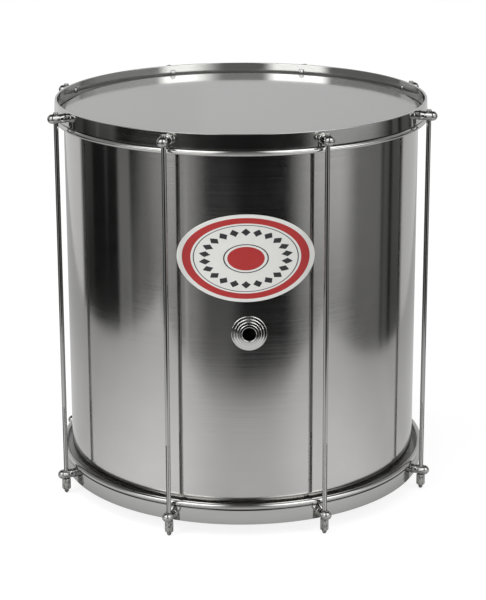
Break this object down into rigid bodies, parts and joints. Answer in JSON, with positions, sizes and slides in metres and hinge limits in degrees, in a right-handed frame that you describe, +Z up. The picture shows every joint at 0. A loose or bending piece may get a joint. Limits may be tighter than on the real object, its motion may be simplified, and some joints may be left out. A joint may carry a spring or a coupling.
{
  "type": "surdo drum",
  "caption": "Deep two-headed bass drum: polished metal shell, metal counter hoops joined by long tension rods through domed lugs, tuning nuts below, a stepped vent and an oval badge",
  "frame": {"origin": "on the drum's axis, at the level of the rod tips that the drum stands on", "axes": "+Z up along the drum's axis to the played head; the front with the badge and the vent faces -Y; +X is to the right seen from the front"},
  "size_m": [0.4804, 0.4804, 0.503],
  "materials": {
    "shell_metal": "bright polished sheet with fine brushing round the shell",
    "hoop_metal": "plated strip, lightly brushed along its length",
    "chrome": "bright chrome plating",
    "head_film": "smooth milky grey polyester film, slightly glossy",
    "badge_enamel": "printed off-white oval with red and black, satin"
  },
  "bodies": {
    "drum": {"shell": "shell_metal", "head_film_top": "head_film", "head_film_bottom": "head_film", "vent_rosette": "chrome", "vent_sleeve": "chrome", "vent_nut": "chrome", "badge_plate": "badge_enamel"},
    "top_hoop": {"counter_hoop_top": "hoop_metal", "flesh_hoop_top": "hoop_metal", "lug_top_1": "chrome", "lug_top_2": "chrome", "lug_top_3": "chrome", "lug_top_4": "chrome", "lug_top_5": "chrome", "lug_top_6": "chrome", "lug_top_7": "chrome", "lug_top_8": "chrome", "lug_screw_top_1": "chrome", "lug_screw_top_2": "chrome", "lug_screw_top_3": "chrome", "lug_screw_top_4": "chrome", "lug_screw_top_5": "chrome", "lug_screw_top_6": "chrome", "lug_screw_top_7": "chrome", "lug_screw_top_8": "chrome", "tension_rod_1": "chrome", "tension_rod_2": "chrome", "tension_rod_3": "chrome", "tension_rod_4": "chrome", "tension_rod_5": "chrome", "tension_rod_6": "chrome", "tension_rod_7": "chrome", "tension_rod_8": "chrome"},
    "bottom_hoop": {"counter_hoop_bottom": "hoop_metal", "flesh_hoop_bottom": "hoop_metal", "lug_bottom_1": "chrome", "lug_bottom_2": "chrome", "lug_bottom_3": "chrome", "lug_bottom_4": "chrome", "lug_bottom_5": "chrome", "lug_bottom_6": "chrome", "lug_bottom_7": "chrome", "lug_bottom_8": "chrome", "lug_screw_bottom_1": "chrome", "lug_screw_bottom_2": "chrome", "lug_screw_bottom_3": "chrome", "lug_screw_bottom_4": "chrome", "lug_screw_bottom_5": "chrome", "lug_screw_bottom_6": "chrome", "lug_screw_bottom_7": "chrome", "lug_screw_bottom_8": "chrome"},
    "nut_1": {"tuning_nut_1": "chrome"},
    "nut_2": {"tuning_nut_2": "chrome"},
    "nut_3": {"tuning_nut_3": "chrome"},
    "nut_4": {"tuning_nut_4": "chrome"},
    "nut_5": {"tuning_nut_5": "chrome"},
    "nut_6": {"tuning_nut_6": "chrome"},
    "nut_7": {"tuning_nut_7": "chrome"},
    "nut_8": {"tuning_nut_8": "chrome"}
  },
  "joints": [
    {"name": "top_hoop_slide", "type": "slide", "parent": "drum", "child": "top_hoop", "axis": [0, 0, 1], "range_m": [-0.002, 0]},
    {"name": "bottom_hoop_slide", "type": "slide", "parent": "drum", "child": "bottom_hoop", "axis": [0, 0, 1], "range_m": [0, 0.002]},
    {"name": "nut_1_turn", "type": "hinge", "parent": "bottom_hoop", "child": "nut_1", "pos_m": [0.0951, -0.22958, 0.0196], "axis": [0, 0, 1], "range_deg": [0, 1440]},
    {"name": "nut_2_turn", "type": "hinge", "parent": "bottom_hoop", "child": "nut_2", "pos_m": [0.22958, -0.0951, 0.0196], "axis": [0, 0, 1], "range_deg": [0, 1440]},
    {"name": "nut_3_turn", "type": "hinge", "parent": "bottom_hoop", "child": "nut_3", "pos_m": [0.22958, 0.0951, 0.0196], "axis": [0, 0, 1], "range_deg": [0, 1440]},
    {"name": "nut_4_turn", "type": "hinge", "parent": "bottom_hoop", "child": "nut_4", "pos_m": [0.0951, 0.22958, 0.0196], "axis": [0, 0, 1], "range_deg": [0, 1440]},
    {"name": "nut_5_turn", "type": "hinge", "parent": "bottom_hoop", "child": "nut_5", "pos_m": [-0.0951, 0.22958, 0.0196], "axis": [0, 0, 1], "range_deg": [0, 1440]},
    {"name": "nut_6_turn", "type": "hinge", "parent": "bottom_hoop", "child": "nut_6", "pos_m": [-0.22958, 0.0951, 0.0196], "axis": [0, 0, 1], "range_deg": [0, 1440]},
    {"name": "nut_7_turn", "type": "hinge", "parent": "bottom_hoop", "child": "nut_7", "pos_m": [-0.22958, -0.0951, 0.0196], "axis": [0, 0, 1], "range_deg": [0, 1440]},
    {"name": "nut_8_turn", "type": "hinge", "parent": "bottom_hoop", "child": "nut_8", "pos_m": [-0.0951, -0.22958, 0.0196], "axis": [0, 0, 1], "range_deg": [0, 1440]}
  ],
  "couplings": [
    {"joint": "bottom_hoop_slide", "follows": "top_hoop_slide", "ratio": -1},
    {"joint": "nut_1_turn", "follows": "top_hoop_slide", "rad_per_m": -12566},
    {"joint": "nut_2_turn", "follows": "top_hoop_slide", "rad_per_m": -12566},
    {"joint": "nut_3_turn", "follows": "top_hoop_slide", "rad_per_m": -12566},
    {"joint": "nut_4_turn", "follows": "top_hoop_slide", "rad_per_m": -12566},
    {"joint": "nut_5_turn", "follows": "top_hoop_slide", "rad_per_m": -12566},
    {"joint": "nut_6_turn", "follows": "top_hoop_slide", "rad_per_m": -12566},
    {"joint": "nut_7_turn", "follows": "top_hoop_slide", "rad_per_m": -12566},
    {"joint": "nut_8_turn", "follows": "top_hoop_slide", "rad_per_m": -12566}
  ]
}
